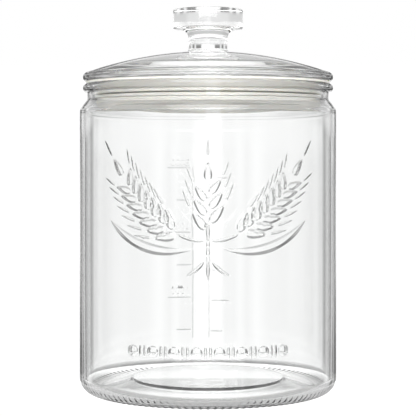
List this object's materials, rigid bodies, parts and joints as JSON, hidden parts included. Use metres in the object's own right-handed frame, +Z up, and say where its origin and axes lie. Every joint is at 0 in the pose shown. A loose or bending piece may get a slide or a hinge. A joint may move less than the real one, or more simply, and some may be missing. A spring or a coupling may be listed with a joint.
{
  "type": "glass cookie jar",
  "caption": "Straight-sided clear glass cookie jar with a knurled foot, a domed glass lid with a disc knob, and a finned seal ring in its wide mouth.",
  "frame": {"origin": "centre of the bearing ring, on the surface that the jar stands on", "axes": "+Z up along the axis of the jar, -Y towards the embossed front"},
  "size_m": [0.17, 0.17, 0.2531],
  "materials": {
    "clear_glass": "clear pressed glass, fire polished",
    "seal_rubber": "satin cream silicone"
  },
  "bodies": {
    "jar": {"glass_jar": "clear_glass"},
    "seal": {"seal_ring": "seal_rubber"},
    "lid": {"glass_lid": "clear_glass"}
  },
  "joints": [
    {"name": "lid_lift", "type": "slide", "parent": "jar", "child": "seal", "axis": [0, 0, 1], "range_m": [0, 0.08]},
    {"name": "lid_turn", "type": "hinge", "parent": "seal", "child": "lid", "pos_m": [0, 0, 0.205], "axis": [0, 0, 1], "continuous": true}
  ]
}
